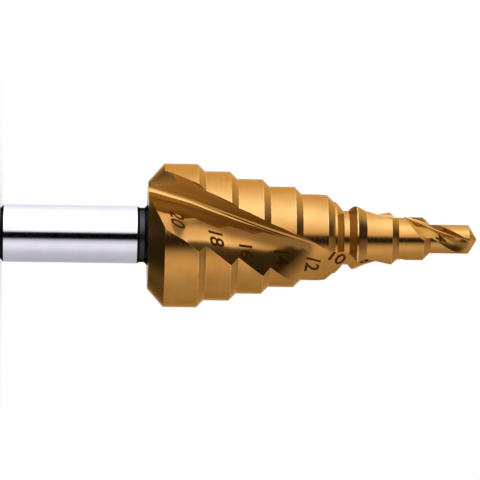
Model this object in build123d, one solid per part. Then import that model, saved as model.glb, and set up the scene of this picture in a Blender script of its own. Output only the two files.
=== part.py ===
from build123d import *
from math import atan2, cos, pi, radians, sin, sqrt
import os

# Step drill, ground from one blank: a round shank, a short neck, a head with nine steps
# from 20 mm down to a 4 mm pilot, and two right-hand flutes.
# The drill stands on its shank end, with the point up +Z. All sizes are in millimetres.

# ---------------------------------------------------------------- driving sizes

shank_diameter = 8.0
shank_end_chamfer = 0.5         # on radius and on length
neck_start = 19.0               # height where the straight shank stops
neck_diameter = 7.6
neck_shoulder = 0.35            # length of the small slope from shank to neck
neck_flare = 0.5                # slope where the neck meets the back of the head

head_start = 20.5               # height of the back face of the head
largest_diameter = 20.0
step_on_diameter = 2.0          # each step is this much smaller than the one behind it
step_pitch = 4.5                # from one step edge to the next
rear_chamfer_length = 2.2
rear_chamfer_depth = 2.5        # on the radius
first_land_length = 4.65        # length of the largest land

groove_step = 5                 # the step (counted from 0) that carries the round groove
groove_lead = 0.3               # what is left of that land in front of the groove
groove_flank = 1.05             # length of the slope down into the groove
groove_floor = 0.7
groove_rise = 1.0               # length of the slope up to the crest
groove_crest = 0.2
groove_diameter = 7.5

pilot_step = 8                  # the step that is the pilot
pilot_length = 6.4              # from the last step's edge to the corner of the point
point_angle = 118.0

flute_fillet = 0.085            # root fillet, as a share of the cone radius at that height
wall_bulge = 0.07               # how far the heel wall bows out, as a share of its width

# The main flutes follow the cone of steps. One row for each place along the cone:
# steps from the middle of the largest land, angle of the cutting edge in degrees,
# root radius as a share of the cone radius, and angle from cutting edge to heel.
main_flute = [
    (-1.3, 197.0, 0.580, 63.0),
    (-0.5, 210.0, 0.605, 61.0),
    (0.0, 218.0, 0.628, 57.0),
    (1.0, 233.0, 0.650, 54.5),
    (2.0, 247.0, 0.675, 55.0),
    (3.0, 261.0, 0.690, 60.0),
    (3.5, 268.5, 0.695, 69.0),
    (4.0, 278.0, 0.690, 79.0),
    (5.0, 304.0, 0.690, 74.0),
    (5.6, 317.0, 0.715, 73.0),
    (6.2, 330.0, 0.760, 70.0),
    (6.7, 341.0, 0.880, 56.0),
    (7.3, 354.0, 1.080, 50.0),
]

# The pilot flutes turn much faster. They rise out of the step behind the pilot.
# One row for each place: steps from the start of the pilot, angle of the cutting edge,
# cone radius and root radius as shares of the pilot radius, and edge-to-heel angle.
pilot_flute = [
    (-1.0, 353.0, 1.64, 1.640, 34.0),
    (-0.7, 354.0, 1.50, 1.360, 51.0),
    (-0.35, 357.0, 1.38, 1.080, 82.0),
    (-0.04, 362.0, 1.20, 0.830, 92.0),
    (0.25, 381.0, 1.05, 0.620, 87.0),
    (0.6, 409.0, 1.00, 0.500, 86.0),
    (1.0, 440.0, 1.00, 0.450, 88.0),
    (1.5, 479.0, 1.00, 0.430, 90.0),
    (2.0, 518.0, 1.00, 0.430, 90.0),
]

flute_count = 2
sections_per_step = 2           # flute sections between one step and the next
sections_per_pilot_step = 5

# ---------------------------------------------------------------- sizes that follow

shank_radius = shank_diameter / 2
neck_radius = neck_diameter / 2
head_radius = largest_diameter / 2
step_depth = step_on_diameter / 2
first_edge = head_start + rear_chamfer_length + first_land_length
first_middle = first_edge - step_pitch / 2 + step_depth / 2
pilot_radius = head_radius - pilot_step * step_depth
pilot_start = first_edge + (pilot_step - 1) * step_pitch + step_depth
pilot_corner = first_edge + (pilot_step - 1) * step_pitch + pilot_length
point_height = pilot_radius / sin(radians(point_angle / 2)) * cos(radians(point_angle / 2))


def head_outline():
    """Corners of the head's outline as (radius, height), from the back face to the tip."""
    corners = [
        (head_radius - rear_chamfer_depth, head_start),
        (head_radius, head_start + rear_chamfer_length),
    ]
    for step in range(pilot_step):
        radius = head_radius - step * step_depth
        edge = first_edge + step * step_pitch
        if step == groove_step:
            low = groove_diameter / 2
            height = edge - step_pitch + step_depth + groove_lead
            corners.append((radius, height))
            height += groove_flank
            corners.append((low, height))
            height += groove_floor
            corners.append((low, height))
            height += groove_rise
            corners.append((radius, height))
            height += groove_crest
            corners.append((radius, height))
            corners.append((radius - step_depth, edge + step_depth))
        else:
            corners.append((radius, edge))
            corners.append((radius - step_depth, edge + step_depth))
    corners.append((pilot_radius, pilot_corner))
    corners.append((0, pilot_corner + point_height))
    return corners


def turned_blank():
    """The blank before fluting: shank, neck and stepped head turned about the axis."""
    points = [
        (0, 0),
        (shank_radius - shank_end_chamfer, 0),
        (shank_radius, shank_end_chamfer),
        (shank_radius, neck_start),
        (neck_radius, neck_start + neck_shoulder),
        (neck_radius, head_start - neck_flare),
        (neck_radius + neck_flare, head_start),
    ]
    points += head_outline()
    profile = make_face(Polyline([(r, 0, z) for r, z in points], close=True))
    return revolve(profile, Axis.Z, 360)


def smooth_between(rows, place):
    """Values of a table at one place, on a smooth curve through its rows."""
    last = len(rows) - 2
    index = 0
    while index < last and place > rows[index + 1][0]:
        index += 1
    low, high = rows[index], rows[index + 1]
    width = high[0] - low[0]
    t = (place - low[0]) / width
    values = []
    for column in range(1, len(low)):
        change = (high[column] - low[column]) / width
        slope_low, slope_high = change, change
        if index > 0:
            before = rows[index - 1]
            slope_low = (high[column] - before[column]) / (high[0] - before[0])
        if index < last:
            after = rows[index + 2]
            slope_high = (after[column] - low[column]) / (after[0] - low[0])
        values.append(
            (2 * t**3 - 3 * t**2 + 1) * low[column]
            + (t**3 - 2 * t**2 + t) * width * slope_low
            + (3 * t**2 - 2 * t**3) * high[column]
            + (t**3 - t**2) * width * slope_high
        )
    return values


def flute_section(height, edge_angle, cone_radius, root_radius, opening):
    """The hollow of one flute across the axis: flat cutting face on the radius, round root,
    and a bowed wall that rises to the heel."""
    outer = cone_radius + 1.5 * step_depth
    fillet = flute_fillet * cone_radius
    root = Vector(root_radius, 0)
    heel = Vector(cone_radius, 0).rotate(Axis.Z, opening)
    chord = heel - root
    sagitta = wall_bulge * chord.length
    bow_radius = (chord.length**2 / 4 + sagitta**2) / (2 * sagitta)
    outward = Vector(chord.Y, -chord.X).normalized()
    centre = (root + heel) * 0.5 + outward * (sagitta - bow_radius)

    # The root fillet touches the cutting face (local X) and the bowed wall.
    reach = sqrt((bow_radius + fillet) ** 2 - (fillet - centre.Y) ** 2)
    fillet_centre = Vector(centre.X + reach, fillet)
    on_face = Vector(fillet_centre.X, 0)
    to_wall = (fillet_centre - centre).normalized()
    on_wall = centre + to_wall * bow_radius
    fillet_middle = fillet_centre - (Vector(0, 1) + to_wall).normalized() * fillet
    wall_middle = centre + ((on_wall - centre) + (heel - centre)).normalized() * bow_radius

    # Past the heel the wall runs on straight until it is clear of the steps.
    along = Vector(-(heel - centre).Y, (heel - centre).X).normalized()
    back = heel.dot(along)
    clear = heel + along * (-back + sqrt(back**2 + outer**2 - cone_radius**2))
    start = Vector(outer, 0)
    middle_angle = atan2(clear.Y, clear.X) / 2
    outer_middle = Vector(outer * cos(middle_angle), outer * sin(middle_angle))

    outline = Wire([
        Edge.make_line(start, on_face),
        Edge.make_three_point_arc(on_face, fillet_middle, on_wall),
        Edge.make_three_point_arc(on_wall, wall_middle, heel),
        Edge.make_line(heel, clear),
        Edge.make_three_point_arc(clear, outer_middle, start),
    ])
    return outline.rotate(Axis.Z, edge_angle).translate((0, 0, height))


def main_cutter():
    """Solid hollow of one main flute, from behind the head to the step before the pilot."""
    first, final = main_flute[0][0], main_flute[-1][0]
    count = round((final - first) * sections_per_step)
    sections = []
    for index in range(count + 1):
        place = first + (final - first) * index / count
        cone = head_radius - place * step_depth
        height = first_middle + place * step_pitch
        edge_angle, root, opening = smooth_between(main_flute, place)
        sections.append(flute_section(height, edge_angle, cone, root * cone, opening))
    return Solid.make_loft(sections)


def pilot_cutter():
    """Solid hollow of one pilot flute, from its run-out to beyond the point."""
    first, final = pilot_flute[0][0], pilot_flute[-1][0]
    count = round((final - first) * sections_per_pilot_step)
    sections = []
    for index in range(count + 1):
        place = first + (final - first) * index / count
        height = pilot_start + place * step_pitch
        edge_angle, cone, root, opening = smooth_between(pilot_flute, place)
        cone *= pilot_radius
        sections.append(flute_section(height, edge_angle, cone, root * pilot_radius, opening))
    return Solid.make_loft(sections)


def step_drill():
    """The blank with all its flutes ground in."""
    drill = turned_blank()
    for cutter in (main_cutter(), pilot_cutter()):
        for flute in range(flute_count):
            drill -= cutter.rotate(Axis.Z, flute * 360 / flute_count)
    return drill


drill = step_drill()
drill = drill.solids().sort_by(SortBy.VOLUME)[-1]
drill.label = "step_drill"
drill.color = Color(0.80, 0.60, 0.28)

os.makedirs("parts", exist_ok=True)
export_step(drill, "parts/step_drill.step")
print("volume", round(drill.volume, 3), "faces", len(drill.faces()), "box", drill.bounding_box())
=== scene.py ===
from math import atan2, ceil, cos, degrees, pi, radians, sin, sqrt
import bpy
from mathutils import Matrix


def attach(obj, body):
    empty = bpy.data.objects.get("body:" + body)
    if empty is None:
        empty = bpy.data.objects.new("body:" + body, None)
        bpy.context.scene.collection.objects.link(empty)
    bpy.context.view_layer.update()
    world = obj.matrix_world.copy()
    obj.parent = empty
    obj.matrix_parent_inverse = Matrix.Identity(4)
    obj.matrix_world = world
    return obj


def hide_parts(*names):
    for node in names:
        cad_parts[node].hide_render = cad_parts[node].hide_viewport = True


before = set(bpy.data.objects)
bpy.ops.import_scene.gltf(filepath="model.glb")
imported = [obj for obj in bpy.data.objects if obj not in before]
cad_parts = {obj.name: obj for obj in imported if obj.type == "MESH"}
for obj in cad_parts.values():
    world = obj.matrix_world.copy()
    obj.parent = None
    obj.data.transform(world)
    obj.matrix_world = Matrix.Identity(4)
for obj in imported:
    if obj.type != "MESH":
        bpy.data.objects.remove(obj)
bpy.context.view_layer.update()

from types import SimpleNamespace

import bmesh
import bpy
from mathutils import Matrix, Vector

bl_info = {
    "name": "Step drill",
    "version": (1, 0, 0),
    "blender": (4, 5, 0),
    "location": "View3D > Sidebar > Step drill",
    "description": "Makes a fluted step drill with its size numbers and a small studio",
    "category": "Add Mesh",
}

MM = 0.001
WHITE = (1.0, 1.0, 1.0, 1.0)

# The main flutes, one row for each place along the cone: steps from the middle of the
# largest land, angle of the cutting edge in degrees, root radius as a share of the cone
# radius, and angle from cutting edge to heel.
MAIN_FLUTE = [
    (-1.3, 197.0, 0.580, 63.0),
    (-0.5, 210.0, 0.605, 61.0),
    (0.0, 218.0, 0.628, 57.0),
    (1.0, 233.0, 0.650, 54.5),
    (2.0, 247.0, 0.675, 55.0),
    (3.0, 261.0, 0.690, 60.0),
    (3.5, 268.5, 0.695, 69.0),
    (4.0, 278.0, 0.690, 79.0),
    (5.0, 304.0, 0.690, 74.0),
    (5.6, 317.0, 0.715, 73.0),
    (6.2, 330.0, 0.760, 70.0),
    (6.7, 341.0, 0.880, 56.0),
    (7.3, 354.0, 1.080, 50.0),
]

# The pilot flutes: steps from the start of the pilot, angle of the cutting edge, cone
# radius and root radius as shares of the pilot radius, and edge-to-heel angle.
PILOT_FLUTE = [
    (-1.0, 353.0, 1.64, 1.640, 34.0),
    (-0.7, 354.0, 1.50, 1.360, 51.0),
    (-0.35, 357.0, 1.38, 1.080, 82.0),
    (-0.04, 362.0, 1.20, 0.830, 92.0),
    (0.25, 381.0, 1.05, 0.620, 87.0),
    (0.6, 409.0, 1.00, 0.500, 86.0),
    (1.0, 440.0, 1.00, 0.450, 88.0),
    (1.5, 479.0, 1.00, 0.430, 90.0),
    (2.0, 518.0, 1.00, 0.430, 90.0),
]

STEP_COUNT = 8                  # steps behind the pilot
GROOVE_STEP = 5                 # the step, counted from 0, that carries the round groove
FLUTE_FILLET = 0.085            # root fillet as a share of the cone radius
WALL_BULGE = 0.07               # bow of the heel wall as a share of its width
FACE_HOOK = 0.45                # slope of the hollow cutting face at the edge
ROOT_LIFT = 0.012               # how far the root lies past the edge, as a share of the cone
SKIN_EASE = 0.9985              # keeps the round surfaces just inside the solid's box

# The main flutes hand over to the pilot flutes at SWITCH_LEAD, and the last of their heel
# wall still cuts the lands up to FADE_LEAD. Both are in step pitches behind the pilot.
SWITCH_LEAD = 0.82
FADE_LEAD = 0.55
FADE_WIDTH = 70.0               # degrees past the cutting edge that the old wall still cuts

# How a flute's outline is traced before its points are spread.
EDGE_CLEAR = 3.0                # how far outside the cutting edge the trace begins, in mm
HEEL_CLEAR = 7.5                # how far it runs on past the heel, in mm
FACE_SPANS = 80
ROOT_SPANS = 24
WALL_SPANS = 90
HEEL_SPANS = 40
HALVINGS = 30                   # steps of the search for where the trace leaves the bar

# How closely the skin's points and rings lie.
LAND_POINTS = 48                # points of one land across the drill
FLUTE_POINTS = 64               # points of one flute across the drill
HALF_POINTS = LAND_POINTS + FLUTE_POINTS
RING_POINTS = 2 * HALF_POINTS
LAND_CROWDING = 0.35            # how much of a land's spacing gathers at its two ends
ROOT_CROWDING = 3.0             # how much closer a flute's points lie round its root
ROOT_REACH = 1.6                # how far from the fillet's centre, in fillet radii
SHANK_PARTS = 4                 # lengths that the straight shank is divided into
RING_SPACING = 0.27             # height from ring to ring on the head, in mm
FINE_SPACING = 0.13             # the same round the pilot flutes
FINE_LEAD = 1.0                 # how far before the hand-over the fine rings begin, in mm
MERGE_DISTANCE = 0.002          # points closer than this are one, in mm
SHORTEST_EDGE = 0.001           # shorter edges and bands are left out, in mm
HEIGHT_DIGITS = 5               # digits to which a ring's height is held to a corner's

# Places of the grinding marks, in mm: from one column of points to the next on a flute and
# on a land, and where the flutes' own marks begin, so that they differ from the lands'.
FLUTE_COLUMN = 0.16
LAND_COLUMN = 0.12
FLUTE_MARKS_START = 40

BARE_STEEL, GOLD_LAND, GOLD_FLUTE, DARK_SHADED_STEEL = range(4)    # materials on the body

# The size numbers: text, flute, other flute, height on the drill, angle past the cutting
# edge, size in mm, distance from digit to digit, turn in degrees.
NUMBERS = [
    ("20", "main", False, 24.4, 41.0, 1.95, 1.2, -5.0),
    ("18", "main", False, 29.75, 39.6, 2.0, 1.1, -11.0),
    ("16", "main", False, 33.95, 40.8, 1.9, 1.0, -12.0),
    ("14", "main", False, 38.9, 37.6, 1.95, 1.1, -6.0),
    ("12", "main", False, 43.4, 46.5, 2.05, 1.15, 9.0),
    ("10", "main", False, 46.7, 22.3, 2.25, 1.25, -64.0),
    ("8", "main", False, 51.05, 33.0, 2.1, 1.0, -20.0),
    ("6", "pilot", False, 57.9, 40.0, 1.4, 1.0, 0.0),
    ("4", "pilot", True, 61.3, 57.0, 1.6, 1.0, -8.0),
]
MARK_HEIGHT = 0.006             # how proud a burnt number stands, in mm
DIGIT_NARROWING = 0.88          # width of a digit as a share of the plain letter's
STROKE_GAIN = 0.018             # how much bolder the strokes are than the plain letter
LONGEST_MARK_EDGE = 0.18        # longer edges are split so that a digit follows the wall
MARK_SPLITS = 3


# ---------------------------------------------------------------- what a user may change

class StepDrillSizes(bpy.types.PropertyGroup):
    """Sizes of the drill and the colours of its steel and coating."""

    shank_diameter: bpy.props.FloatProperty(
        name="Shank diameter", description="Diameter of the plain round shank",
        default=8.0 * MM, min=0.0, precision=5, unit="LENGTH")
    shank_chamfer: bpy.props.FloatProperty(
        name="Shank chamfer", description="Chamfer at the end of the shank",
        default=0.5 * MM, min=0.0, precision=5, unit="LENGTH")
    neck_start: bpy.props.FloatProperty(
        name="Neck start", description="Height at which the straight shank stops",
        default=19.0 * MM, min=0.0, precision=5, unit="LENGTH")
    neck_diameter: bpy.props.FloatProperty(
        name="Neck diameter", description="Diameter of the short neck",
        default=7.6 * MM, min=0.0, precision=5, unit="LENGTH")
    neck_shoulder: bpy.props.FloatProperty(
        name="Neck shoulder", description="Length of the small slope from shank to neck",
        default=0.35 * MM, min=0.0, precision=5, unit="LENGTH")
    neck_flare: bpy.props.FloatProperty(
        name="Neck flare", description="Slope between neck and head",
        default=0.5 * MM, min=0.0, precision=5, unit="LENGTH")
    head_start: bpy.props.FloatProperty(
        name="Head start", description="Height of the back face of the head",
        default=20.5 * MM, min=0.0, precision=5, unit="LENGTH")
    rear_chamfer_length: bpy.props.FloatProperty(
        name="Rear chamfer length", description="Length of the chamfer behind the head",
        default=2.2 * MM, min=0.0, precision=5, unit="LENGTH")
    rear_chamfer_depth: bpy.props.FloatProperty(
        name="Rear chamfer depth", description="Depth of that chamfer on the radius",
        default=2.5 * MM, min=0.0, precision=5, unit="LENGTH")
    first_land_length: bpy.props.FloatProperty(
        name="First land length", description="Length of the largest land",
        default=4.65 * MM, min=0.0, precision=5, unit="LENGTH")
    largest_diameter: bpy.props.FloatProperty(
        name="Largest diameter", description="Diameter of the largest step",
        default=20.0 * MM, min=0.0, precision=5, unit="LENGTH")
    step_on_diameter: bpy.props.FloatProperty(
        name="Step", description="How much smaller each step is",
        default=2.0 * MM, min=0.0, precision=5, unit="LENGTH")
    step_pitch: bpy.props.FloatProperty(
        name="Step pitch", description="Distance from one step edge to the next",
        default=4.5 * MM, min=0.0, precision=5, unit="LENGTH")
    groove_lead: bpy.props.FloatProperty(
        name="Groove lead", description="What is left of the land behind the groove",
        default=0.3 * MM, min=0.0, precision=5, unit="LENGTH")
    groove_flank: bpy.props.FloatProperty(
        name="Groove flank", description="Length of the slope down into the groove",
        default=1.05 * MM, min=0.0, precision=5, unit="LENGTH")
    groove_floor: bpy.props.FloatProperty(
        name="Groove floor", description="Length of the bottom of the groove",
        default=0.7 * MM, min=0.0, precision=5, unit="LENGTH")
    groove_rise: bpy.props.FloatProperty(
        name="Groove rise", description="Length of the slope up out of the groove",
        default=1.0 * MM, min=0.0, precision=5, unit="LENGTH")
    groove_crest: bpy.props.FloatProperty(
        name="Groove crest", description="What is left of the land past the groove",
        default=0.2 * MM, min=0.0, precision=5, unit="LENGTH")
    groove_diameter: bpy.props.FloatProperty(
        name="Groove diameter", description="Diameter at the bottom of the groove",
        default=7.5 * MM, min=0.0, precision=5, unit="LENGTH")
    pilot_length: bpy.props.FloatProperty(
        name="Pilot length", description="From the last step's edge to the corner of the point",
        default=6.4 * MM, min=0.0, precision=5, unit="LENGTH")
    point_angle: bpy.props.FloatProperty(
        name="Point angle", description="Full angle of the drill's point",
        default=radians(118.0), min=0.0, max=pi, subtype="ANGLE")
    coating_colour: bpy.props.FloatVectorProperty(
        name="Coating colour", description="Colour of the hard gold coating on the head",
        subtype="COLOR", size=3, min=0.0, max=1.0, default=(0.58, 0.283, 0.074))
    steel_colour: bpy.props.FloatVectorProperty(
        name="Steel colour", description="Colour of the bare ground steel",
        subtype="COLOR", size=3, min=0.0, max=1.0, default=(0.79, 0.805, 1.0))
    # Dark steel on the neck and the shank end's chamfer. On the chamfer it is painted shade for a
    # dark reflection. On the neck it is partly darker steel and partly painted shade from the
    # head's dark back face.
    dark_shade_colour: bpy.props.FloatVectorProperty(
        name="Dark steel and shade colour", description="Colour of the dark neck and shank end, partly painted shade",
        subtype="COLOR", size=3, min=0.0, max=1.0, default=(0.055, 0.052, 0.052))
    mark_colour: bpy.props.FloatVectorProperty(
        name="Mark colour", description="Colour of the burnt-in numbers",
        subtype="COLOR", size=3, min=0.0, max=1.0, default=(0.085, 0.030, 0.006))


class StudioSettings(bpy.types.PropertyGroup):
    """The plain studio around the drill."""

    tent_brightness: bpy.props.FloatProperty(
        name="Tent brightness", description="Brightness of the light tent in the metal",
        default=3.40, min=0.0)
    key_tint: bpy.props.FloatVectorProperty(
        name="Key tint", description="Colour of the bright part of the tent",
        subtype="COLOR", size=3, min=0.0, max=1.0, default=(0.62, 0.765, 1.0))
    fill_tint: bpy.props.FloatVectorProperty(
        name="Fill tint", description="Colour of the dim part of the tent",
        subtype="COLOR", size=3, min=0.0, max=1.0, default=(0.71, 0.675, 0.615))
    room_light: bpy.props.FloatProperty(
        name="Room light", description="Even light from all sides", default=0.9, min=0.0)
    lamp_power: bpy.props.FloatProperty(
        name="Lamp power", description="Power of the overhead softbox",
        default=0.28, min=0.0, unit="POWER")
    floor_colour: bpy.props.FloatVectorProperty(
        name="Floor colour", description="Colour of the pale floor",
        subtype="COLOR", size=3, min=0.0, max=1.0, default=(0.97, 0.97, 0.97))


def drill_sizes():
    """The drill's sizes as plain numbers, in millimetres and degrees."""
    settings = bpy.context.scene.step_drill
    sizes = SimpleNamespace(point_angle=round(degrees(settings.point_angle), 4))
    for item in settings.bl_rna.properties:
        if item.type == "FLOAT" and item.unit == "LENGTH":
            setattr(sizes, item.identifier, round(getattr(settings, item.identifier) / MM, 4))
    return sizes


# ---------------------------------------------------------------- shape of the drill

def first_edge(s):
    """Height of the front edge of the largest land."""
    return s.head_start + s.rear_chamfer_length + s.first_land_length


def last_edge(s):
    """Height of the front edge of the smallest step behind the pilot."""
    return first_edge(s) + (STEP_COUNT - 1) * s.step_pitch


def pilot_start(s):
    """Height at which the pilot begins."""
    return last_edge(s) + s.step_on_diameter / 2


def pilot_radius(s):
    """What is left of the radius past the last step."""
    return s.largest_diameter / 2 - STEP_COUNT * s.step_on_diameter / 2


def flute_switch(s):
    """Height at which the main flute hands over to the pilot flute."""
    return pilot_start(s) - SWITCH_LEAD * s.step_pitch


def head_outline(s):
    """Corners of the turned head as (radius, height), from the back face to the tip."""
    top = s.largest_diameter / 2
    depth = s.step_on_diameter / 2
    corners = [(top - s.rear_chamfer_depth, s.head_start),
               (top, s.head_start + s.rear_chamfer_length)]
    for step in range(STEP_COUNT):
        radius = top - step * depth
        edge = first_edge(s) + step * s.step_pitch
        if step == GROOVE_STEP:
            low = s.groove_diameter / 2
            height = edge - s.step_pitch + depth + s.groove_lead
            corners.append((radius, height))
            for reached, length in ((low, s.groove_flank), (low, s.groove_floor),
                                    (radius, s.groove_rise), (radius, s.groove_crest)):
                height += length
                corners.append((reached, height))
        else:
            corners.append((radius, edge))
        corners.append((radius - depth, edge + depth))
    pilot = pilot_radius(s)
    corner = last_edge(s) + s.pilot_length
    half_point = radians(s.point_angle / 2)
    corners.append((pilot, corner))
    corners.append((0.0, corner + pilot / sin(half_point) * cos(half_point)))
    return corners


def shank_outline(s):
    """Rings of shank and neck as (radius, height, whether it is a sharp corner)."""
    shank = s.shank_diameter / 2
    neck = s.neck_diameter / 2
    outline = [(shank - s.shank_chamfer, 0.0, True), (shank, s.shank_chamfer, True)]
    for part in range(1, SHANK_PARTS):
        outline.append((shank, s.neck_start * part / SHANK_PARTS, False))
    outline.append((shank, s.neck_start, True))
    outline.append((neck, s.neck_start + s.neck_shoulder, True))
    outline.append((neck, s.head_start - s.neck_flare, True))
    outline.append((neck + s.neck_flare, s.head_start, True))
    return outline


def radius_at(corners, height):
    """Radius of the turned outline at one height."""
    for (r0, z0), (r1, z1) in zip(corners, corners[1:]):
        if z0 <= height <= z1 and z1 > z0:
            return r0 + (r1 - r0) * (height - z0) / (z1 - z0)
    return corners[-1][0]


def smooth_between(rows, place):
    """Values of a table at one place, on a smooth curve through its rows."""
    last = len(rows) - 2
    index = 0
    while index < last and place > rows[index + 1][0]:
        index += 1
    low, high = rows[index], rows[index + 1]
    width = high[0] - low[0]
    t = (place - low[0]) / width
    values = []
    for column in range(1, len(low)):
        change = (high[column] - low[column]) / width
        slope_low, slope_high = change, change
        if index > 0:
            before = rows[index - 1]
            slope_low = (high[column] - before[column]) / (high[0] - before[0])
        if index < last:
            after = rows[index + 2]
            slope_high = (after[column] - low[column]) / (after[0] - low[0])
        values.append((2 * t**3 - 3 * t**2 + 1) * low[column]
                      + (t**3 - 2 * t**2 + t) * width * slope_low
                      + (3 * t**2 - 2 * t**3) * high[column]
                      + (t**3 - t**2) * width * slope_high)
    return values


class FluteSection:
    """The hollow of one flute across the drill, in a frame turned to its cutting edge."""

    def __init__(self, edge_angle, cone, root_radius, opening):
        """Radii are in mm and angles in degrees. The cone is the radius of the heel."""
        self.edge_angle = edge_angle
        self.cone = cone
        self.fillet = FLUTE_FILLET * cone
        self.lift = ROOT_LIFT * cone
        root = Vector((root_radius, self.lift))
        self.heel = Vector((cone * cos(radians(opening)), cone * sin(radians(opening))))
        chord = self.heel - root
        sagitta = WALL_BULGE * chord.length
        self.bow = (chord.length**2 / 4 + sagitta**2) / (2 * sagitta)
        outward = Vector((chord.y, -chord.x)).normalized()
        self.centre = (root + self.heel) * 0.5 + outward * (sagitta - self.bow)
        floor = self.fillet + self.lift
        reach = sqrt((self.bow + self.fillet)**2 - (floor - self.centre.y)**2)
        self.fillet_centre = Vector((self.centre.x + reach, floor))
        self.on_wall = self.centre + (self.fillet_centre - self.centre).normalized() * self.bow
        spoke = self.heel - self.centre
        self.along = Vector((-spoke.y, spoke.x)).normalized()

    def face_points(self):
        """From outside the cutting edge down the slightly hollow cutting face."""
        start = self.cone + EDGE_CLEAR
        floor = self.fillet_centre.x
        depth = self.cone - floor
        for i in range(FACE_SPANS):
            x = start + (floor - start) * i / FACE_SPANS
            t = (x - floor) / depth
            hollow = FACE_HOOK * depth * (t - 1 if t > 1 else -t * t * (1 - t))
            lift = self.lift * (2 - 2 * t if t > 1 else 1 - t * t)
            yield Vector((x, hollow + lift))

    def root_points(self):
        """Round the root fillet, from the cutting face to the heel wall."""
        to_face = -pi / 2
        spoke = self.on_wall - self.fillet_centre
        to_wall = atan2(spoke.y, spoke.x)
        while to_wall > to_face:
            to_wall -= 2 * pi
        for i in range(ROOT_SPANS):
            a = to_face + (to_wall - to_face) * i / ROOT_SPANS
            yield self.fillet_centre + Vector((cos(a), sin(a))) * self.fillet

    def wall_points(self):
        """Up the bowed heel wall, and straight on past the heel."""
        low = atan2(self.on_wall.y - self.centre.y, self.on_wall.x - self.centre.x)
        high = atan2(self.heel.y - self.centre.y, self.heel.x - self.centre.x)
        for i in range(WALL_SPANS):
            a = low + (high - low) * i / WALL_SPANS
            yield self.centre + Vector((cos(a), sin(a))) * self.bow
        for i in range(HEEL_SPANS + 1):
            yield self.heel + self.along * (HEEL_CLEAR * i / HEEL_SPANS)

    def trace(self):
        """Points from outside the cutting edge, down the face, round the root, up the wall."""
        return [*self.face_points(), *self.root_points(), *self.wall_points()]

    def wall_radius(self, angle):
        """Distance of the heel wall from the axis, at an angle past the cutting edge."""
        d = Vector((cos(angle), sin(angle)))
        reach = self.centre.dot(d)
        on_bow = reach + sqrt(max(0.0, reach**2 - self.centre.length_squared + self.bow**2))
        point = d * on_bow
        if (point - self.heel).dot(self.along) <= 0:
            return on_bow
        across = Vector((self.along.y, -self.along.x))
        return self.heel.dot(across) / d.dot(across)


def main_section(s, height):
    """Section of a main flute at one height on the drill."""
    place = (height - (first_edge(s) - s.step_pitch / 2 + s.step_on_diameter / 4)) / s.step_pitch
    cone = s.largest_diameter / 2 - place * s.step_on_diameter / 2
    edge_angle, root, opening = smooth_between(MAIN_FLUTE, place)
    return FluteSection(edge_angle, cone, root * cone, opening)


def pilot_section(s, height):
    """Section of a pilot flute at one height on the drill."""
    pilot = pilot_radius(s)
    place = (height - pilot_start(s)) / s.step_pitch
    edge_angle, cone, root, opening = smooth_between(PILOT_FLUTE, place)
    return FluteSection(edge_angle, cone * pilot, root * pilot, opening)


def crossing(outside, inside, radius):
    """Where the line from a point outside a round bar to one inside meets its surface."""
    low, high = 0.0, 1.0
    for _ in range(HALVINGS):
        middle = (low + high) / 2
        if outside.lerp(inside, middle).length > radius:
            low = middle
        else:
            high = middle
    return outside.lerp(inside, high)


def clipped_flute(section, radius):
    """The part of a flute inside a round bar: spread points and the two edge angles."""
    trace = section.trace()
    inside = [i for i, p in enumerate(trace) if p.length < radius]
    if not inside:
        nearest = min(trace, key=lambda p: p.length)
        angle = atan2(nearest.y, nearest.x)
        rim = Vector((cos(angle), sin(angle))) * radius
        return [rim.copy() for _ in range(FLUTE_POINTS + 1)], angle, angle

    first, last = inside[0], inside[-1]
    path = [crossing(trace[first - 1], trace[first], radius)] if first > 0 else []
    path += trace[first:last + 1]
    if last + 1 < len(trace):
        path.append(crossing(trace[last + 1], trace[last], radius))
    # Points lie closer together round the root, where the surface turns fastest.
    lengths = [0.0]
    for a, b in zip(path, path[1:]):
        middle = (a + b) / 2
        near_root = (middle - section.fillet_centre).length < ROOT_REACH * section.fillet
        lengths.append(lengths[-1] + (b - a).length * (ROOT_CROWDING if near_root else 1.0))
    points = []
    index = 0
    for step in range(FLUTE_POINTS + 1):
        target = lengths[-1] * step / FLUTE_POINTS
        while index < len(path) - 2 and lengths[index + 1] < target:
            index += 1
        span = lengths[index + 1] - lengths[index]
        t = 0.0 if span <= 0 else (target - lengths[index]) / span
        points.append(path[index].lerp(path[index + 1], min(1.0, t)))
    return points, atan2(points[0].y, points[0].x), atan2(points[-1].y, points[-1].x)


def half_ring(s, corners, height):
    """Angles and radii of one land and one flute at one height on the head."""
    bar = radius_at(corners, height)
    fading = None
    if height < flute_switch(s):
        section = main_section(s, height)
    else:
        section = pilot_section(s, height)
        if height < pilot_start(s) - FADE_LEAD * s.step_pitch:
            fading = main_section(s, height)
    flute, edge, heel = clipped_flute(section, bar)
    turn = radians(section.edge_angle)
    land_start = heel - pi + turn
    land_end = edge + turn
    half = []
    for i in range(LAND_POINTS):
        t = i / LAND_POINTS
        t = t * t * (3 - 2 * t) * LAND_CROWDING + t * (1 - LAND_CROWDING)
        angle = land_start + (land_end - land_start) * t
        land = bar
        if fading is not None:
            past = angle - radians(fading.edge_angle)
            past = (past + pi / 2) % pi - pi / 2
            if 0 < past < radians(FADE_WIDTH):
                land = min(land, fading.wall_radius(past))
        half.append((angle, land))
    for p in flute[:-1]:
        half.append((atan2(p.y, p.x) + turn, p.length))
    return half


def ring_positions(s, corners, height, radius=None):
    """One closed ring of points across the drill: land, flute, land, flute. With a radius
    the ring is round, and its points lie at the angles of the back of the head."""
    half = half_ring(s, corners, s.head_start if radius else height)
    ring = []
    for flip in (0.0, pi):
        for angle, distance in half:
            reach = (radius or distance) * SKIN_EASE
            ring.append(Vector((reach * cos(angle + flip), reach * sin(angle + flip), height)))
    return ring


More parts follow.
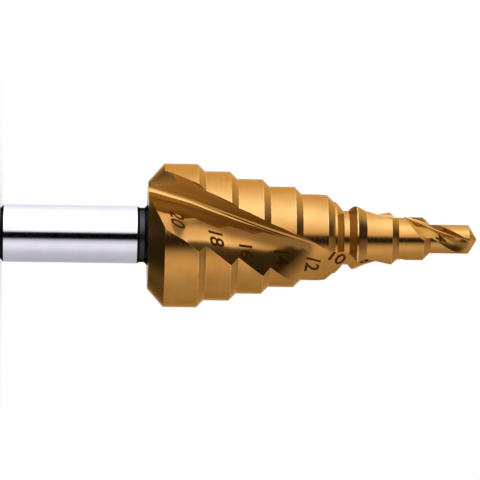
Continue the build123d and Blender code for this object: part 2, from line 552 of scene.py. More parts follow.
def ring_heights(s, corners):
    """Heights of the rings of the head: every corner, and close spacing between them."""
    heights = []
    for (_, z0), (_, z1) in zip(corners, corners[1:]):
        if z1 - z0 < SHORTEST_EDGE:
            continue
        spacing = RING_SPACING if z1 < flute_switch(s) - FINE_LEAD else FINE_SPACING
        count = max(1, ceil((z1 - z0) / spacing))
        heights += [z0 + (z1 - z0) * i / count for i in range(count)]
    return heights


def skin_ring(mesh, previous, positions):
    """Extrudes the open edge loop of the mesh to a new ring of positions."""
    edges = [mesh.edges.get((a, b)) for a, b in zip(previous, previous[1:] + previous[:1])]
    grown = bmesh.ops.extrude_edge_only(mesh, edges=edges)["geom"]
    fresh = {v for v in grown if isinstance(v, bmesh.types.BMVert)}
    ring = []
    for vert in previous:
        partner = next(e.other_vert(vert) for e in vert.link_edges if e.other_vert(vert) in fresh)
        ring.append(partner)
    for vert, place in zip(ring, positions):
        vert.co = place * MM
    return ring


def grow_skin(mesh, s, corners):
    """Grows the skin ring by ring from the shank end to the point. Gives the rings back as
    (verts, part, whether the ring is a turned corner)."""
    ring = bmesh.ops.create_circle(mesh, segments=RING_POINTS, radius=MM, cap_ends=False)["verts"]
    ring.sort(key=lambda v: atan2(v.co.y, v.co.x) % (2 * pi))
    outline = shank_outline(s)
    radius, height, sharp = outline[0]
    for vert, place in zip(ring, ring_positions(s, corners, height, radius)):
        vert.co = place * MM
    rings = [(ring, "shank", sharp)]
    for radius, height, sharp in outline[1:]:
        ring = skin_ring(mesh, ring, ring_positions(s, corners, height, radius))
        rings.append((ring, "shank", sharp))
    corner_heights = {round(z, HEIGHT_DIGITS) for _, z in corners}
    for height in ring_heights(s, corners):
        ring = skin_ring(mesh, ring, ring_positions(s, corners, height))
        rings.append((ring, "head", round(height, HEIGHT_DIGITS) in corner_heights))
    tip = mesh.verts.new((0.0, 0.0, corners[-1][1] * MM))
    for a, b in zip(ring, ring[1:] + ring[:1]):
        mesh.faces.new((a, b, tip))
    mesh.faces.new(list(reversed(rings[0][0])))
    return rings


def sharpen_edges(mesh, rings):
    """Sharp lines: every turned corner across the lands, and both edges of each flute. On
    the head and at the shank end these lines are also worn."""
    wear = mesh.verts.layers.float["edge_wear"]
    parts = [part for _, part, _ in rings]
    for index, (ring, part, sharp) in enumerate(rings):
        all_round = part == "shank" or index == parts.index("head")
        worn = part == "head" or index < 2
        for i in range(RING_POINTS):
            if not sharp or not (all_round or i % HALF_POINTS < LAND_POINTS):
                continue
            a, b = ring[i], ring[(i + 1) % RING_POINTS]
            mesh.edges.get((a, b)).smooth = False
            if worn:
                a[wear] = 1.0
                b[wear] = 1.0
        if part == "head" and index + 1 < len(rings):
            above = rings[index + 1][0]
            for i in (0, LAND_POINTS, HALF_POINTS, HALF_POINTS + LAND_POINTS):
                edge = mesh.edges.get((ring[i], above[i]))
                edge.smooth = False
                for vert in edge.verts:
                    vert[wear] = 1.0


def finish_faces(mesh, s, rings):
    """Gives each face its metal and its place in the grinding marks: across the marks and
    along them. The marks run round the lands and along the flutes. The shank's end and the
    last small cone at the point have no marks and keep the first metal, bare steel."""
    uv = mesh.loops.layers.uv.new("grinding")
    for (low, part, _), (high, part_above, _) in zip(rings, rings[1:]):
        for i in range(RING_POINTS):
            edge = mesh.edges.get((low[i], low[(i + 1) % RING_POINTS]))
            face = next(f for f in edge.link_faces if high[i] in f.verts)
            in_flute = part == "head" and i % HALF_POINTS >= LAND_POINTS
            middle = (low[i].co.z + high[i].co.z) / 2 / MM
            if part_above == "shank":
                # The shank end's chamfer and the neck take the dark steel, which is partly painted
                # shade.
                dark_shaded = middle < s.shank_chamfer or middle > s.neck_start
                face.material_index = DARK_SHADED_STEEL if dark_shaded else BARE_STEEL
            else:
                bright = in_flute and middle < pilot_start(s)
                face.material_index = GOLD_FLUTE if bright else GOLD_LAND
            for loop in face.loops:
                column = i if loop.vert in (low[i], high[i]) else i + 1
                z = loop.vert.co.z / MM
                if in_flute:
                    across = (column % HALF_POINTS - LAND_POINTS) * FLUTE_COLUMN
                    loop[uv].uv = (across + FLUTE_MARKS_START, z)
                else:
                    loop[uv].uv = (z, column * LAND_COLUMN)


def make_body(s):
    """The whole drill as one skin."""
    mesh = bmesh.new()
    mesh.verts.layers.float.new("edge_wear")
    rings = grow_skin(mesh, s, head_outline(s))
    sharpen_edges(mesh, rings)
    for face in mesh.faces:
        face.smooth = True
    finish_faces(mesh, s, rings)
    bmesh.ops.remove_doubles(mesh, verts=mesh.verts, dist=MERGE_DISTANCE * MM)
    bmesh.ops.dissolve_degenerate(mesh, edges=mesh.edges, dist=SHORTEST_EDGE * MM)
    bmesh.ops.recalc_face_normals(mesh, faces=mesh.faces)
    data = bpy.data.meshes.new("ground_drill")
    mesh.to_mesh(data)
    mesh.free()
    return data


# ---------------------------------------------------------------- node helpers

def add_node(tree, kind, **values):
    """A new node with its settings."""
    node = tree.nodes.new(kind)
    for key, value in values.items():
        setattr(node, key, value)
    return node


def feed(tree, socket, value):
    """Links an output to a socket, or sets the socket to a plain value."""
    if isinstance(value, bpy.types.NodeSocket):
        tree.links.new(value, socket)
    else:
        socket.default_value = value


def calculate(tree, operation, *values):
    """A Math node over outputs and plain numbers."""
    node = add_node(tree, "ShaderNodeMath", operation=operation)
    for socket, value in zip(node.inputs, values):
        feed(tree, socket, value)
    return node.outputs[0]


def remap(tree, value, start, end, low=0.0, high=1.0, **settings):
    """A Map Range node that turns start to end into low to high."""
    node = add_node(tree, "ShaderNodeMapRange", **settings)
    feed(tree, node.inputs["Value"], value)
    for name, number in (("From Min", start), ("From Max", end), ("To Min", low), ("To Max", high)):
        node.inputs[name].default_value = number
    return node.outputs["Result"]


def noise(tree, vector, scale, detail, roughness=0.5):
    """A noise over a place, from 0 to 1."""
    node = add_node(tree, "ShaderNodeTexNoise")
    feed(tree, node.inputs["Vector"], vector)
    node.inputs["Scale"].default_value = scale
    node.inputs["Detail"].default_value = detail
    node.inputs["Roughness"].default_value = roughness
    return node.outputs["Fac"]


def mix(tree, kind, factor, first, second):
    """A Mix node for colours (RGBA) or numbers (FLOAT)."""
    node = add_node(tree, "ShaderNodeMix", data_type=kind)
    for name, value in (("Factor", factor), ("A", first), ("B", second)):
        feed(tree, node.inputs[name], value)
    return node.outputs["Result"]


def mix_shaders(tree, factor, first, second):
    """The first shader where the factor is 0, and the second where it is 1."""
    node = add_node(tree, "ShaderNodeMixShader")
    for socket, value in zip(node.inputs, (factor, first, second)):
        feed(tree, socket, value)
    return node.outputs[0]


def colour_ramp(tree, value, stops):
    """A colour ramp over a value: stops are (position, colour) in rising order."""
    node = add_node(tree, "ShaderNodeValToRGB")
    elements = node.color_ramp.elements
    for index, (position, colour) in ((0, stops[0]), (1, stops[-1])):
        elements[index].position = position
        elements[index].color = (*colour, 1.0)
    for position, colour in stops[1:-1]:
        elements.new(position).color = (*colour, 1.0)
    feed(tree, node.inputs["Fac"], value)
    return node.outputs["Color"]


def level_ramp(tree, value, stops):
    """A grey ramp over a value of any range: stops are (value, level) in rising order."""
    low, high = stops[0][0], stops[-1][0]
    spread = remap(tree, value, low, high)
    return colour_ramp(tree, spread, [((at - low) / (high - low), (level,) * 3)
                                      for at, level in stops])


def object_place(tree):
    """Place on the object, in metres."""
    return add_node(tree, "ShaderNodeTexCoord").outputs["Object"]


def new_metal(name):
    """A material with a plain metal shader."""
    material = bpy.data.materials.new(name)
    material.use_nodes = True
    shader = material.node_tree.nodes["Principled BSDF"]
    shader.inputs["Metallic"].default_value = 1.0
    return material, material.node_tree, shader


# ---------------------------------------------------------------- finishes

MARKS_PER_MM = 9.0
MARK_STRETCH = 0.35             # how fast the marks change along their length
TONE_SCALE = 330.0              # slow change of tone, about 3 mm across
WEAR_SHARPNESS = 4.0            # how fast wear falls off beside a sharp edge
WEAR_SCALE = 1500.0
WEAR_BREAKS = (0.35, 0.65)      # where the worn line is missing, and where it is whole
MARKS_SHARE = 0.45              # of the streaks in the tone, the rest is slow change
STREAK_RANGE = (0.30, 0.70)     # tones at which the darker and lighter streaks are full
MARKS_RANGE = (0.25, 0.75)      # marks at which the metal is smoothest and roughest
ROUGHNESS_SPREAD = 0.2          # how far the marks vary the roughness, up and down
MARKS_STRENGTH = 0.18
INNER_ROUGHNESS = 0.55          # of the metal where it is seen in another part of itself
WORN_GOLD = (0.75, 0.45, 0.20)
# Painted shade: the darker gold the coating takes where it is seen in its own reflection, in the
# flutes' hollows.
GOLD_REFLECTION_SHADE = (0.46, 0.34, 0.165)    # gold as it is seen in another part of itself
BURN_GLANCE = (0.35, 0.20, 0.10)    # tint of a burnt number at a glancing angle
BURN_SCALE = 6000.0
BURN_RANGE = (0.35, 0.70)       # grain at which a burnt number is darkest and lightest
BURN_SHADES = (0.5, 1.9)        # its darkest and lightest shade as shares of its colour
BURN_ROUGHNESS = (0.30, 0.45)


def shaded(colour, *shares):
    """A colour with its channels times one share, or times a share each."""
    return tuple(min(1.0, c * share) for c, share in zip(colour, shares * (3 // len(shares))))


def grinding_group():
    """Node group: fine wheel marks that follow the surface, and slow tone changes."""
    group = bpy.data.node_groups.new("Grinding marks", "ShaderNodeTree")
    face = group.interface
    scale = face.new_socket("Marks per mm", in_out="INPUT", socket_type="NodeSocketFloat")
    scale.default_value = MARKS_PER_MM
    face.new_socket("Marks", in_out="OUTPUT", socket_type="NodeSocketFloat")
    face.new_socket("Tone", in_out="OUTPUT", socket_type="NodeSocketFloat")
    inputs = add_node(group, "NodeGroupInput")
    outputs = add_node(group, "NodeGroupOutput")
    uv = add_node(group, "ShaderNodeUVMap", uv_map="grinding")
    split = add_node(group, "ShaderNodeSeparateXYZ")
    feed(group, split.inputs[0], uv.outputs["UV"])
    join = add_node(group, "ShaderNodeCombineXYZ")
    across = calculate(group, "MULTIPLY", split.outputs["X"], inputs.outputs["Marks per mm"])
    along = calculate(group, "MULTIPLY", split.outputs["Y"], MARK_STRETCH)
    feed(group, join.inputs["X"], across)
    feed(group, join.inputs["Y"], along)
    marks = noise(group, join.outputs[0], scale=1.0, detail=3.0, roughness=0.6)
    tone = noise(group, object_place(group), scale=TONE_SCALE, detail=2.0)
    feed(group, outputs.inputs["Marks"], marks)
    feed(group, outputs.inputs["Tone"], tone)
    return group


def wear_group():
    """Node group: a thin worn line along sharp edges."""
    group = bpy.data.node_groups.new("Worn edges", "ShaderNodeTree")
    face = group.interface
    width = face.new_socket("Sharpness", in_out="INPUT", socket_type="NodeSocketFloat")
    width.default_value = WEAR_SHARPNESS
    face.new_socket("Wear", in_out="OUTPUT", socket_type="NodeSocketFloat")
    inputs = add_node(group, "NodeGroupInput")
    outputs = add_node(group, "NodeGroupOutput")
    wear = add_node(group, "ShaderNodeAttribute", attribute_name="edge_wear")
    line = calculate(group, "POWER", wear.outputs["Fac"], inputs.outputs["Sharpness"])
    patches = noise(group, object_place(group), scale=WEAR_SCALE, detail=2.0)
    broken = remap(group, patches, *WEAR_BREAKS)
    feed(group, outputs.inputs["Wear"], calculate(group, "MULTIPLY", line, broken))
    return group


def ground_metal(groups, name, colour, darker, lighter, worn, reflection_shade, roughness, marks_depth):
    """A ground metal: streaked tone, streaked roughness, fine bump and worn edges. Where
    the metal is seen in another part of itself, its base colour turns to the darker
    reflection-shade colour: painted shade in the metal's inner reflections, as in the flutes."""
    material, tree, shader = new_metal(name)
    shader.inputs["Specular Tint"].default_value = (*(sqrt(c) for c in worn), 1.0)
    grinding = add_node(tree, "ShaderNodeGroup", node_tree=groups["grinding"])
    wear = add_node(tree, "ShaderNodeGroup", node_tree=groups["wear"])
    marks = grinding.outputs["Marks"]
    glossy_ray = add_node(tree, "ShaderNodeLightPath").outputs["Is Glossy Ray"]

    slow = calculate(tree, "MULTIPLY", grinding.outputs["Tone"], 1 - MARKS_SHARE)
    tone = calculate(tree, "MULTIPLY_ADD", marks, MARKS_SHARE, slow)
    dark_at, light_at = STREAK_RANGE
    streaks = colour_ramp(tree, tone, [(dark_at, darker), (0.5, colour), (light_at, lighter)])
    edged = mix(tree, "RGBA", wear.outputs["Wear"], streaks, (*worn, 1.0))
    # Painted shade: for glossy rays the base colour turns to the darker reflection-shade colour,
    # darkening the metal as seen in its own hollows.
    feed(tree, shader.inputs["Base Color"], mix(tree, "RGBA", glossy_ray, edged, (*reflection_shade, 1.0)))

    rough = remap(tree, marks, *MARKS_RANGE,
                  roughness * (1 - ROUGHNESS_SPREAD), roughness * (1 + ROUGHNESS_SPREAD))
    feed(tree, shader.inputs["Roughness"], mix(tree, "FLOAT", glossy_ray, rough, INNER_ROUGHNESS))

    bump = add_node(tree, "ShaderNodeBump")
    bump.inputs["Strength"].default_value = MARKS_STRENGTH
    bump.inputs["Distance"].default_value = marks_depth
    feed(tree, bump.inputs["Height"], marks)
    feed(tree, shader.inputs["Normal"], bump.outputs["Normal"])
    return material


def body_finishes(settings):
    """The finishes of the body, in the order of their numbers on its faces. The depth of
    the marks is in metres."""
    steel = tuple(settings.steel_colour)
    gold = tuple(settings.coating_colour)
    dark_shaded = tuple(settings.dark_shade_colour)
    bright = shaded(steel, 1.05)
    coating = dict(colour=gold, darker=shaded(gold, 0.90, 0.84, 0.78),
                   lighter=shaded(gold, 1.08, 1.12, 1.20), worn=WORN_GOLD, reflection_shade=GOLD_REFLECTION_SHADE,
                   marks_depth=0.000001)
    return [
        dict(name="bare ground steel", colour=steel, darker=shaded(steel, 0.94), lighter=bright,
             worn=bright, reflection_shade=steel, roughness=0.11, marks_depth=0.000004),
        dict(name="gold coated land", roughness=0.20, **coating),
        dict(name="gold coated flute", roughness=0.085, **coating),
        # Painted shade: this dark steel stands in for the dark reflections of the shank end's
        # chamfer and, in part, of the neck.
        dict(name="dark steel with painted shade", colour=dark_shaded, darker=shaded(dark_shaded, 0.8), lighter=shaded(dark_shaded, 1.25),
             worn=shaded(dark_shaded, 1.6), reflection_shade=dark_shaded, roughness=0.30, marks_depth=0.000006),
    ]


def burnt_mark(colour):
    """The dark brown of a number burnt into the coating."""
    material, tree, shader = new_metal("burnt number")
    shader.inputs["Specular Tint"].default_value = (*BURN_GLANCE, 1.0)
    grain = noise(tree, object_place(tree), scale=BURN_SCALE, detail=2.0)
    shades = [(at, shaded(colour, share)) for at, share in zip(BURN_RANGE, BURN_SHADES)]
    feed(tree, shader.inputs["Base Color"], colour_ramp(tree, grain, shades))
    feed(tree, shader.inputs["Roughness"], remap(tree, grain, 0.0, 1.0, *BURN_ROUGHNESS))
    return material


# ---------------------------------------------------------------- pieces

class STEPDRILL_OT_body(bpy.types.Operator):
    """Make the fluted drill from shank to point"""

    bl_idname = "step_drill.body"
    bl_label = "Drill body"

    def execute(self, context):
        body = bpy.data.objects.new("ground_drill", make_body(drill_sizes()))
        context.collection.objects.link(body)
        if not body.data.polygons:
            raise RuntimeError("the drill body came out empty")
        groups = {"grinding": grinding_group(), "wear": wear_group()}
        for finish in body_finishes(context.scene.step_drill):
            body.data.materials.append(ground_metal(groups, **finish))
        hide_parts("step_drill")
        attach(body, "root")
        return {"FINISHED"}


def digit_mesh(digit):
    """One digit as a flat mesh, centred, with a height of one."""
    curve = bpy.data.curves.new("digit", "FONT")
    curve.body = digit
    curve.offset = STROKE_GAIN
    holder = bpy.data.objects.new("digit", curve)
    flat = bpy.data.meshes.new_from_object(holder)
    bpy.data.objects.remove(holder)
    bpy.data.curves.remove(curve)
    mesh = bmesh.new()
    mesh.from_mesh(flat)
    bpy.data.meshes.remove(flat)
    low = min(v.co.y for v in mesh.verts)
    high = max(v.co.y for v in mesh.verts)
    left = min(v.co.x for v in mesh.verts)
    right = max(v.co.x for v in mesh.verts)
    bmesh.ops.translate(mesh, verts=mesh.verts, vec=(-(left + right) / 2, -(low + high) / 2, 0))
    grow = 1 / (high - low)
    bmesh.ops.scale(mesh, verts=mesh.verts, vec=(grow * DIGIT_NARROWING, grow, 1))
    return mesh


def flat_number(text, size, spacing, turned):
    """A number as one flat mesh of small triangles, centred and turned."""
    mesh = bmesh.new()
    for index, digit in enumerate(text):
        shape = digit_mesh(digit)
        shift = (index - (len(text) - 1) / 2) * spacing
        bmesh.ops.scale(shape, verts=shape.verts, vec=(size, size, 1))
        bmesh.ops.translate(shape, verts=shape.verts, vec=(shift, 0, 0))
        piece = bpy.data.meshes.new("digit")
        shape.to_mesh(piece)
        shape.free()
        mesh.from_mesh(piece)
        bpy.data.meshes.remove(piece)
    bmesh.ops.triangulate(mesh, faces=mesh.faces)
    for _ in range(MARK_SPLITS):
        long_edges = [e for e in mesh.edges if e.calc_length() > LONGEST_MARK_EDGE]
        bmesh.ops.subdivide_edges(mesh, edges=long_edges, cuts=1)
        bmesh.ops.triangulate(mesh, faces=mesh.faces)
    bmesh.ops.rotate(mesh, verts=mesh.verts, matrix=Matrix.Rotation(-radians(turned), 3, "Z"))
    return mesh


def number_mesh(s, number):
    """One size number as a thin mark that lies on the heel wall of a flute."""
    text, flute, flip, height, past, size, spacing, turned = number
    section_at = main_section if flute == "main" else pilot_section
    mesh = flat_number(text, size, spacing, turned)
    middle = section_at(s, height).wall_radius(radians(past))
    for vert in mesh.verts:
        z = height + vert.co.y
        section = section_at(s, z)
        angle = radians(past) + vert.co.x / middle
        radius = section.wall_radius(angle) * SKIN_EASE + MARK_HEIGHT
        turn = radians(section.edge_angle) + (pi if flip else 0.0)
        vert.co = Vector((radius * cos(angle + turn), radius * sin(angle + turn), z)) * MM
    bmesh.ops.recalc_face_normals(mesh, faces=mesh.faces)
    outward = sum(f.normal.dot(Vector((f.calc_center_median().x, f.calc_center_median().y, 0)))
                  for f in mesh.faces)
    if outward < 0:
        bmesh.ops.reverse_faces(mesh, faces=mesh.faces)
    data = bpy.data.meshes.new("number_" + text)
    mesh.to_mesh(data)
    mesh.free()
    return data


class STEPDRILL_OT_numbers(bpy.types.Operator):
    """Mark the size of each step on the flute wall"""

    bl_idname = "step_drill.numbers"
    bl_label = "Size numbers"

    def execute(self, context):
        sizes = drill_sizes()
        mark = burnt_mark(tuple(context.scene.step_drill.mark_colour))
        for number in NUMBERS:
            data = number_mesh(sizes, number)
            piece = bpy.data.objects.new("number_" + number[0], data)
            context.collection.objects.link(piece)
            data.materials.append(mark)
            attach(piece, "root")
        return {"FINISHED"}


# ---------------------------------------------------------------- studio

FRAME_WIDTH = 66.85             # what the camera sees across at the drill's axis, in mm
FRAME_MIDDLE = 33.36            # height on the drill at the middle of the frame
FRAME_DROP = 0.515              # how far the axis lies above the middle of the frame
CAMERA_DISTANCE = 514.0         # in mm
CAMERA_LEAN = 2.66              # degrees towards the shank
CAMERA_DIP = 0.796              # degrees that the axis dips to the right
CAMERA_SENSOR = 36.0
CAMERA_NEAR, CAMERA_FAR = 0.01, 50.0    # in metres, as the lengths that follow

LAMP_SIZE = 0.25
LAMP_PLACE = (-0.10, -0.06, 0.36)
LAMP_AIM = (0.0, 0.0, 0.02)

FLOOR_RADIUS = 0.9
FLOOR_DROP = 0.00002            # keeps the floor clear of the shank end
FLOOR_SIDES = 96
FLOOR_ROUGHNESS = 0.9
FLOOR_MELT = (0.025, 0.09)      # distances at which the floor begins to melt and is gone

TENT_RADIUS = 3.0               # far enough to count as a direction
TENT_DETAIL = 5                 # subdivisions of the round tent

# How bright the light tent is in each direction round the drill: angle in degrees from
# the front towards the key side, and share of the tent's brightness.
TENT = [
    (-180, 0.34), (-140, 0.22), (-100, 0.25), (-80, 0.28), (-60, 0.38), (-50, 0.41),
    (-40, 0.40), (-30, 0.31), (-22, 0.14), (-18, 0.0), (4, 0.0), (9, 0.42), (20, 0.57),
    (30, 0.69), (40, 0.80), (52, 0.92), (62, 0.93), (80, 0.82), (100, 0.62), (120, 0.47),
    (140, 0.44), (180, 0.34),
]
# How far the tent reaches up, as (height of the direction, share). In front on the key
# side there is a gap above the main cloth, then a second cloth that ends sharply. Behind
# the drill and on the fill side the cloth fades.
FRONT_GAP = [(-1.2, 1.0), (0.10, 1.0), (0.17, 0.45), (0.25, 0.3), (0.42, 0.3), (0.455, 0.45),
             (0.485, 0.82), (0.51, 1.0), (1.2, 1.0)]
FRONT_REACH = [(-1.0, 1.0), (0.20, 1.0), (0.45, 0.62), (0.56, 0.62), (0.60, 0.72),
               (0.635, 0.72), (0.65, 0.2), (0.66, 0.07), (0.72, 0.045), (1.0, 0.03)]
BACK_REACH = [(-1.0, 1.0), (0.50, 1.0), (0.656, 0.8), (0.743, 0.7), (0.839, 0.5), (0.906, 0.4),
              (0.945, 0.22), (1.0, 0.1)]
FILL_REACH = [(-1.8, 1.0), (0.75, 1.0), (0.9, 0.7), (0.96, 0.5), (1.05, 0.3), (1.12, 0.18),
              (1.2, 0.06), (1.8, 0.03)]
# How it fades downwards, on the front and far behind the drill.
LOW_REACH = [(-1.0, 0.04), (-0.88, 0.06), (-0.80, 0.22), (-0.70, 0.6), (-0.5, 0.85),
             (-0.3, 1.0), (1.0, 1.0)]
LOW_BEHIND = [(-1.0, 0.04), (-0.76, 0.1), (-0.5, 0.25), (-0.3, 0.35), (-0.15, 1.0), (1.0, 1.0)]
# Faint light above and below the dark slot.
HIGH_GLOW = [(-1.0, 0.0), (0.30, 0.0), (0.42, 0.17), (0.575, 0.18), (0.64, 0.03), (1.0, 0.0)]
LOW_GLOW = [(-1.0, 0.3), (-0.25, 0.3), (-0.1, 0.0), (1.0, 0.0)]
GAP_SLOPE = -0.15               # how the gap's height changes from front to side
FILL_SLOPE = 0.8                # the same for the upper end of the fill side
BEHIND = (0.0, -0.25)           # where the front hands over to the back
FAR_BEHIND = (-0.3, -0.6)       # where the lower fade of the back takes over
TINT_LEVELS = (0.43, 0.9)       # levels at which the fill tint and the key tint are full


def tent_level(tree):
    """How bright the cloth is in each direction, as a share of the tent's brightness."""
    towards = add_node(tree, "ShaderNodeVectorMath", operation="NORMALIZE")
    feed(tree, towards.inputs[0], object_place(tree))
    split = add_node(tree, "ShaderNodeSeparateXYZ")
    feed(tree, split.inputs[0], towards.outputs["Vector"])
    height = split.outputs["Z"]
    key = calculate(tree, "MULTIPLY", split.outputs["X"], -1.0)
    front = calculate(tree, "MULTIPLY", split.outputs["Y"], -1.0)

    angle = calculate(tree, "ARCTAN2", key, front)
    around = level_ramp(tree, angle, [(radians(degree), level) for degree, level in TENT])
    around = calculate(tree, "MAXIMUM", around, level_ramp(tree, height, LOW_GLOW))

    gap_height = calculate(tree, "MULTIPLY_ADD", front, GAP_SLOPE, height)
    fill_height = calculate(tree, "MULTIPLY_ADD", front, FILL_SLOPE, height)
    in_front = calculate(tree, "MULTIPLY", level_ramp(tree, height, FRONT_REACH),
                         level_ramp(tree, gap_height, FRONT_GAP))
    key_side = mix(tree, "RGBA", remap(tree, front, *BEHIND), in_front,
                   level_ramp(tree, height, BACK_REACH))
    on_key_side = calculate(tree, "GREATER_THAN", key, 0.0)
    reach = mix(tree, "RGBA", on_key_side, level_ramp(tree, fill_height, FILL_REACH), key_side)

    low = mix(tree, "RGBA", remap(tree, front, *FAR_BEHIND), level_ramp(tree, height, LOW_REACH),
              level_ramp(tree, height, LOW_BEHIND))
    cloth = calculate(tree, "MULTIPLY", calculate(tree, "MULTIPLY", around, reach), low)
    return calculate(tree, "MAXIMUM", cloth, level_ramp(tree, height, HIGH_GLOW))


def lit_cloth(settings):
    """The glow of the tent: cool where it is bright and warm where it is dim."""
    material = bpy.data.materials.new("lit cloth")
    material.use_nodes = True
    tree = material.node_tree
    tree.nodes.clear()
    level = tent_level(tree)
    glow = add_node(tree, "ShaderNodeEmission")
    tints = (tuple(settings.fill_tint), tuple(settings.key_tint))
    feed(tree, glow.inputs["Color"], colour_ramp(tree, level, list(zip(TINT_LEVELS, tints))))
    strength = calculate(tree, "MULTIPLY", level, settings.tent_brightness)
    feed(tree, glow.inputs["Strength"], strength)
    out = add_node(tree, "ShaderNodeOutputMaterial")
    feed(tree, out.inputs["Surface"], glow.outputs[0])
    return material


def light_tent(settings):
    """A round tent of lit cloth that only the metal sees, with a dark slot at the front."""
    mesh = bmesh.new()
    bmesh.ops.create_icosphere(mesh, subdivisions=TENT_DETAIL, radius=TENT_RADIUS)
    bmesh.ops.reverse_faces(mesh, faces=mesh.faces)
    for face in mesh.faces:
        face.smooth = True
    data = bpy.data.meshes.new("light_tent")
    mesh.to_mesh(data)
    mesh.free()
    data.materials.append(lit_cloth(settings))
    tent = bpy.data.objects.new("light_tent", data)
    tent.visible_camera = False
    tent.visible_diffuse = False
    tent.visible_transmission = False
    tent.visible_volume_scatter = False
    tent.visible_shadow = False
    return tent


def studio_world(settings):
    """A white room."""
    world = bpy.data.worlds.new("white room")
    world.use_nodes = True
    tree = world.node_tree
    tree.nodes.clear()
    room = add_node(tree, "ShaderNodeBackground")
    room.inputs["Color"].default_value = WHITE
    room.inputs["Strength"].default_value = settings.room_light
    white = add_node(tree, "ShaderNodeBackground")
    white.inputs["Color"].default_value = WHITE
    white.inputs["Strength"].default_value = 1.0
    rays = add_node(tree, "ShaderNodeLightPath").outputs
    through = calculate(tree, "MAXIMUM", rays["Is Glossy Ray"], rays["Is Transmission Ray"])
    seen = calculate(tree, "MAXIMUM", rays["Is Camera Ray"], through)
    out = add_node(tree, "ShaderNodeOutputWorld")
    feed(tree, out.inputs["Surface"], mix_shaders(tree, seen, room.outputs[0], white.outputs[0]))
    return world


def pale_floor(settings):
    """A round pale floor under the shank end, which melts into the white room far away."""
    mesh = bmesh.new()
    bmesh.ops.create_circle(mesh, segments=FLOOR_SIDES, radius=FLOOR_RADIUS, cap_ends=True)
    bmesh.ops.translate(mesh, verts=mesh.verts, vec=(0, 0, -FLOOR_DROP))
    data = bpy.data.meshes.new("floor")
    mesh.to_mesh(data)
    mesh.free()
    material = bpy.data.materials.new("pale floor")
    material.use_nodes = True
    tree = material.node_tree
    shader = tree.nodes["Principled BSDF"]
    shader.inputs["Base Color"].default_value = (*settings.floor_colour, 1.0)
    shader.inputs["Roughness"].default_value = FLOOR_ROUGHNESS
    shader.inputs["Specular IOR Level"].default_value = 0.0
    distance = add_node(tree, "ShaderNodeVectorMath", operation="LENGTH")
    feed(tree, distance.inputs[0], object_place(tree))
    far = remap(tree, distance.outputs["Value"], *FLOOR_MELT, interpolation_type="SMOOTHSTEP")
    camera_ray = add_node(tree, "ShaderNodeLightPath").outputs["Is Camera Ray"]
    seen = calculate(tree, "MULTIPLY", camera_ray, far)
    white = add_node(tree, "ShaderNodeEmission")
    white.inputs["Color"].default_value = WHITE
    melt = mix_shaders(tree, seen, shader.outputs[0], white.outputs[0])
    feed(tree, tree.nodes["Material Output"].inputs["Surface"], melt)
    data.materials.append(material)
    floor = bpy.data.objects.new("floor", data)
    floor.visible_glossy = False
    return floor


def overhead_softbox(settings):
    """The one lamp: a round softbox over the drill that leaves no image in the metal."""
    data = bpy.data.lights.new("overhead softbox", "AREA")
    data.shape = "DISK"
    data.size = LAMP_SIZE
    data.energy = settings.lamp_power
    lamp = bpy.data.objects.new("overhead_softbox", data)
    lamp.location = LAMP_PLACE
    aim = Vector(LAMP_AIM) - Vector(LAMP_PLACE)
    lamp.rotation_euler = aim.to_track_quat("-Z", "Y").to_euler()
    lamp.visible_glossy = False
    return lamp


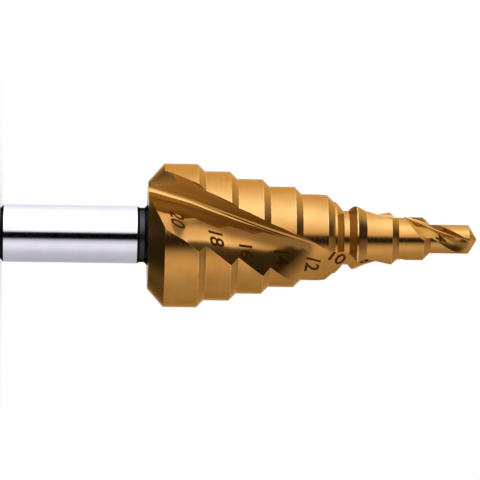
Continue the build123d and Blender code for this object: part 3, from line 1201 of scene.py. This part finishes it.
def lying_camera():
    """The camera lies on its side: the drill's axis runs across the frame, point to the
    right, and dips a little to the right. It looks from a little towards the shank."""
    dip = radians(CAMERA_DIP)
    lean = radians(CAMERA_LEAN)
    up = Vector((-cos(dip), 0, -sin(dip)))
    along = Vector((-sin(dip), 0, cos(dip)))
    back = (Vector((0, -1, 0)) * cos(lean) - along * sin(lean)).normalized()
    right = up.cross(back)
    aim = Vector((0, 0, FRAME_MIDDLE * MM)) - up * FRAME_DROP * MM
    data = bpy.data.cameras.new("camera")
    data.sensor_width = CAMERA_SENSOR
    data.lens = CAMERA_SENSOR * CAMERA_DISTANCE / FRAME_WIDTH
    data.clip_start = CAMERA_NEAR
    data.clip_end = CAMERA_FAR
    camera = bpy.data.objects.new("camera", data)
    turn = Matrix((right, up, back)).transposed().to_4x4()
    camera.matrix_world = Matrix.Translation(aim + back * CAMERA_DISTANCE * MM) @ turn
    return camera


class STEPDRILL_OT_stage(bpy.types.Operator):
    """Set the floor, the lights and the camera"""

    bl_idname = "step_drill.stage"
    bl_label = "Studio"

    def execute(self, context):
        scene = context.scene
        settings = scene.step_drill_studio
        scene.view_settings.view_transform = "Standard"
        scene.world = studio_world(settings)
        floor = pale_floor(settings)
        context.collection.objects.link(floor)
        tent = light_tent(settings)
        context.collection.objects.link(tent)
        context.collection.objects.link(overhead_softbox(settings))
        camera = lying_camera()
        context.collection.objects.link(camera)
        scene.camera = camera
        return {"FINISHED"}


# ---------------------------------------------------------------- panel and main

class STEPDRILL_PT_panel(bpy.types.Panel):
    """Lists the pieces of the step drill with their sizes and colours"""

    bl_idname = "STEPDRILL_PT_panel"
    bl_label = "Step drill"
    bl_space_type = "VIEW_3D"
    bl_region_type = "UI"
    bl_category = "Step drill"

    def draw(self, context):
        layout = self.layout
        for piece in (STEPDRILL_OT_body, STEPDRILL_OT_numbers, STEPDRILL_OT_stage):
            layout.operator(piece.bl_idname)
        for settings in (context.scene.step_drill, context.scene.step_drill_studio):
            column = layout.column()
            for name in type(settings).__annotations__:
                column.prop(settings, name)


CLASSES = (
    StepDrillSizes,
    StudioSettings,
    STEPDRILL_OT_body,
    STEPDRILL_OT_numbers,
    STEPDRILL_OT_stage,
    STEPDRILL_PT_panel,
)


def register():
    for item in CLASSES:
        bpy.utils.register_class(item)
    bpy.types.Scene.step_drill = bpy.props.PointerProperty(type=StepDrillSizes)
    bpy.types.Scene.step_drill_studio = bpy.props.PointerProperty(type=StudioSettings)


def unregister():
    del bpy.types.Scene.step_drill_studio
    del bpy.types.Scene.step_drill
    for item in reversed(CLASSES):
        bpy.utils.unregister_class(item)


def main():
    """Makes the drill and its studio."""
    register()
    bpy.ops.step_drill.body()
    bpy.ops.step_drill.numbers()
    bpy.ops.step_drill.stage()


if __name__ == "__main__":
    main()
